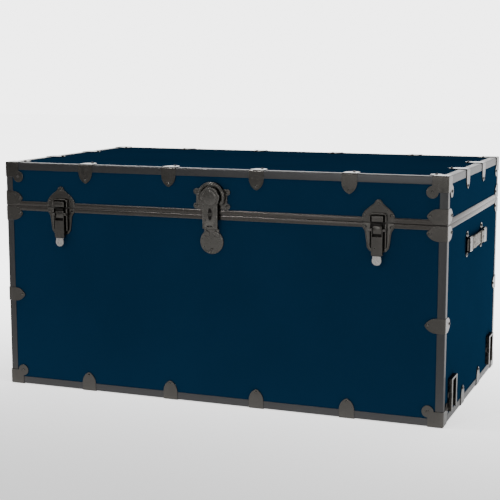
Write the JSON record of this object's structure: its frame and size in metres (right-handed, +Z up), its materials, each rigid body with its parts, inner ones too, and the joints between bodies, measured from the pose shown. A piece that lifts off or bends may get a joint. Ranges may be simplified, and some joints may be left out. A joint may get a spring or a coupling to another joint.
{
  "type": "steamer trunk",
  "caption": "Plywood storage trunk with steel edge trim, hinged lid on folding stays, two draw bolts, a hasp lock and strap handles on both ends.",
  "frame": {"origin": "Centre of the bounding box in X and Y, on the floor under the bottom corner caps.", "axes": "+X to the right end as seen from the front, +Y from the front to the hinged back, +Z up."},
  "size_m": [0.9336, 0.5312, 0.4642],
  "materials": {
    "vinyl_board": "navy vinyl over plywood, satin",
    "lining_paper": "plain paper lining, matt",
    "trim_steel": "gunmetal plated strip, satin",
    "hardware_steel": "gunmetal plated stampings, semi-gloss",
    "lock_steel": "gunmetal plated stampings, semi-gloss",
    "lock_core": "bright nickel plate",
    "strap": "grey-brown stitched leather strap"
  },
  "bodies": {
    "case": {"case_bottom_panel": "vinyl_board", "case_front_panel": "vinyl_board", "case_back_panel": "vinyl_board", "case_left_end_panel": "vinyl_board", "case_right_end_panel": "vinyl_board", "case_lining": "lining_paper", "case_rim_valance": "trim_steel", "case_front_trim": "trim_steel", "case_back_trim": "trim_steel", "case_left_trim": "trim_steel", "case_right_trim": "trim_steel", "case_post_trims": "trim_steel", "case_corner_caps": "hardware_steel", "case_edge_clamps": "hardware_steel", "case_rim_clamps": "hardware_steel", "case_post_clamps": "hardware_steel", "case_hinge_leaves": "hardware_steel", "hinge_pins": "hardware_steel", "left_draw_bolt_base": "hardware_steel", "right_draw_bolt_base": "hardware_steel", "lock_foot_plate": "lock_steel", "lock_hinge_pin": "lock_steel", "handle_loops": "hardware_steel", "strap_ends": "strap", "wheel_brackets": "hardware_steel", "case_stay_brackets": "hardware_steel", "case_rivets": "hardware_steel"},
    "lid": {"lid_top_panel": "vinyl_board", "lid_front_panel": "vinyl_board", "lid_back_panel": "vinyl_board", "lid_left_end_panel": "vinyl_board", "lid_right_end_panel": "vinyl_board", "lid_lining": "lining_paper", "lid_rim_valance": "trim_steel", "lid_front_trim": "trim_steel", "lid_back_trim": "trim_steel", "lid_left_trim": "trim_steel", "lid_right_trim": "trim_steel", "lid_post_trims": "trim_steel", "lid_corner_caps": "hardware_steel", "lid_edge_clamps": "hardware_steel", "lid_rim_clamps": "hardware_steel", "lid_hinge_leaves": "hardware_steel", "left_draw_bolt_catch": "hardware_steel", "right_draw_bolt_catch": "hardware_steel", "lock_keeper": "lock_steel", "lid_stay_brackets": "hardware_steel", "lid_rivets": "hardware_steel"},
    "left_stay": {"left_stay_arm": "hardware_steel"},
    "right_stay": {"right_stay_arm": "hardware_steel"},
    "left_bolt_lever": {"left_draw_bolt_lever": "hardware_steel"},
    "left_bolt_link": {"left_draw_bolt_link": "hardware_steel"},
    "right_bolt_lever": {"right_draw_bolt_lever": "hardware_steel"},
    "right_bolt_link": {"right_draw_bolt_link": "hardware_steel"},
    "hasp": {"lock_hasp": "lock_steel"},
    "key_plug": {"lock_plug": "lock_core"},
    "lock_bolt": {"lock_bolt": "lock_core"},
    "left_grip": {"left_handle_grip": "strap"},
    "right_grip": {"right_handle_grip": "strap"}
  },
  "joints": [
    {"name": "lid_hinge", "type": "hinge", "parent": "case", "child": "lid", "pos_m": [0, 0.2619, 0.374], "axis": [-1, 0, 0], "range_deg": [0, 100]},
    {"name": "left_stay_pivot", "type": "hinge", "parent": "lid", "child": "left_stay", "pos_m": [-0.43975, 0.0979, 0.4188], "axis": [-1, 0, 0], "range_deg": [-50, 0]},
    {"name": "right_stay_pivot", "type": "hinge", "parent": "lid", "child": "right_stay", "pos_m": [0.43975, 0.0979, 0.4188], "axis": [-1, 0, 0], "range_deg": [-50, 0]},
    {"name": "left_bolt_lever_swing", "type": "hinge", "parent": "case", "child": "left_bolt_lever", "pos_m": [-0.329, -0.2611, 0.361], "axis": [-1, 0, 0], "range_deg": [0, 110]},
    {"name": "left_bolt_link_swing", "type": "hinge", "parent": "left_bolt_lever", "child": "left_bolt_link", "pos_m": [-0.329, -0.2611, 0.353], "axis": [-1, 0, 0], "range_deg": [-121, 0]},
    {"name": "right_bolt_lever_swing", "type": "hinge", "parent": "case", "child": "right_bolt_lever", "pos_m": [0.329, -0.2611, 0.361], "axis": [-1, 0, 0], "range_deg": [0, 110]},
    {"name": "right_bolt_link_swing", "type": "hinge", "parent": "right_bolt_lever", "child": "right_bolt_link", "pos_m": [0.329, -0.2611, 0.353], "axis": [-1, 0, 0], "range_deg": [-121, 0]},
    {"name": "hasp_swing", "type": "hinge", "parent": "case", "child": "hasp", "pos_m": [0, -0.2611, 0.35], "axis": [1, 0, 0], "range_deg": [0, 170]},
    {"name": "key_turn", "type": "hinge", "parent": "hasp", "child": "key_plug", "pos_m": [0, -0.2611, 0.376], "axis": [0, -1, 0], "range_deg": [0, 90]},
    {"name": "lock_bolt_slide", "type": "slide", "parent": "hasp", "child": "lock_bolt", "axis": [1, 0, 0], "range_m": [0, 0.005]},
    {"name": "left_grip_lift", "type": "slide", "parent": "case", "child": "left_grip", "axis": [-1, 0, 0], "range_m": [0, 0.022], "stiffness_N_per_m": 150},
    {"name": "right_grip_lift", "type": "slide", "parent": "case", "child": "right_grip", "axis": [1, 0, 0], "range_m": [0, 0.022], "stiffness_N_per_m": 150}
  ],
  "couplings": [
    {"joint": "left_stay_pivot", "follows": "lid_hinge", "ratio": -0.5},
    {"joint": "right_stay_pivot", "follows": "lid_hinge", "ratio": -0.5},
    {"joint": "left_bolt_link_swing", "follows": "left_bolt_lever_swing", "ratio": -1.1},
    {"joint": "right_bolt_link_swing", "follows": "right_bolt_lever_swing", "ratio": -1.1},
    {"joint": "lock_bolt_slide", "follows": "key_turn", "m_per_rad": 0.00318}
  ]
}
